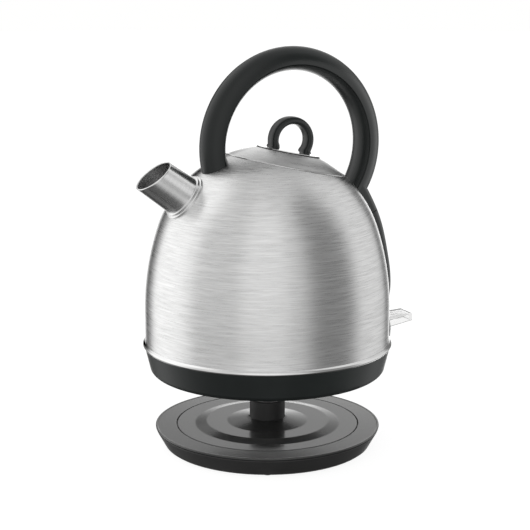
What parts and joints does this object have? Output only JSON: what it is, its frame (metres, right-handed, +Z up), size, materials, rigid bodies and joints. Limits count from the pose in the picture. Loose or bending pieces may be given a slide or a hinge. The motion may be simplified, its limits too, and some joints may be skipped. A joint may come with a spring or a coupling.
{
  "type": "electric kettle",
  "caption": "Cordless electric kettle with a domed brushed steel body, hooped plastic handle, lift-off lid with a ring knob, short spout, clear switch lever and round power base.",
  "frame": {"origin": "common axis of kettle and power base, at the table", "axes": "+Z up, -X towards the spout, +X towards the handle's spine and the switch lever, XZ is the symmetry plane of the kettle"},
  "size_m": [0.2121, 0.1764, 0.2823],
  "materials": {
    "brushed_steel": "fine horizontal brushing, satin sheen",
    "spout_steel": "lengthwise polished satin steel",
    "inner_steel": "plain stainless sheet",
    "chrome_trim": "bright polished band",
    "charcoal_plastic": "satin moulded plastic, very fine grain",
    "skirt_plastic": "satin moulded plastic",
    "base_grey_plastic": "satin dark grey plastic",
    "base_black_plastic": "satin black plastic",
    "black_rubber": "soft matt rubber",
    "silicone": "translucent grey silicone",
    "clear_plastic": "clear polycarbonate",
    "lamp_clear": "clear lamp glass",
    "inner_plastic": "unfinished moulded plastic",
    "control_plastic": "heat resistant off-white moulding",
    "brass": "plated contact brass",
    "diffuser_aluminium": "bare rolled aluminium",
    "element_sheath": "heat tinted metal sheath",
    "screw_steel": "zinc plated steel"
  },
  "bodies": {
    "kettle": {"skirt": "skirt_plastic", "bottom_cover": "skirt_plastic", "bottom_screws": "screw_steel", "trim_ring": "chrome_trim", "heater_plate": "inner_steel", "plate_seal": "silicone", "heat_diffuser": "diffuser_aluminium", "heating_element": "element_sheath", "control_housing": "control_plastic", "control_screws": "screw_steel", "bimetal_discs": "brass", "element_leads": "brass", "body_shell": "brushed_steel", "spout_tube": "spout_steel", "spout_collar": "spout_steel", "spout_filter": "inner_steel", "handle_outer": "charcoal_plastic", "handle_inner": "charcoal_plastic", "handle_root": "charcoal_plastic", "handle_front_anchor": "inner_plastic", "handle_rear_anchor": "inner_plastic", "handle_screws": "screw_steel", "handle_washers": "silicone", "spine_cover": "charcoal_plastic", "spine_liner": "inner_plastic", "steam_tube": "silicone", "steam_thermostat": "control_plastic", "switch_lamp": "lamp_clear", "pivot_pin": "screw_steel"},
    "connector": {"contact_carrier": "control_plastic", "earth_pin": "brass", "contact_rings": "brass"},
    "power_base": {"base_tray": "base_black_plastic", "base_rim": "base_grey_plastic", "base_plate": "base_grey_plastic", "connector_post": "base_black_plastic", "post_contacts": "brass", "rubber_feet": "black_rubber", "base_screws": "screw_steel", "cord_bush": "base_black_plastic", "cord_clamp": "base_black_plastic", "cord_clamp_screws": "screw_steel"},
    "lid": {"lid_cap": "brushed_steel", "lid_pan": "inner_plastic", "lid_seal": "silicone", "knob_plate": "chrome_trim", "knob_loop": "charcoal_plastic", "knob_screws": "screw_steel"},
    "lever": {"switch_lever": "clear_plastic"}
  },
  "joints": [
    {"name": "kettle_swivel", "type": "hinge", "parent": "kettle", "child": "connector", "pos_m": [0, 0, 0.06], "axis": [0, 0, 1], "continuous": true},
    {"name": "kettle_seating", "type": "slide", "parent": "connector", "child": "power_base", "axis": [0, 0, 1], "range_m": [0, 0.0393]},
    {"name": "lid_lift", "type": "slide", "parent": "kettle", "child": "lid", "axis": [0.2096, 0, 0.9778], "range_m": [0, 0.024]},
    {"name": "switch_press", "type": "hinge", "parent": "kettle", "child": "lever", "pos_m": [0.0913, 0, 0.08], "axis": [0, 1, 0], "range_deg": [0, 13]}
  ]
}
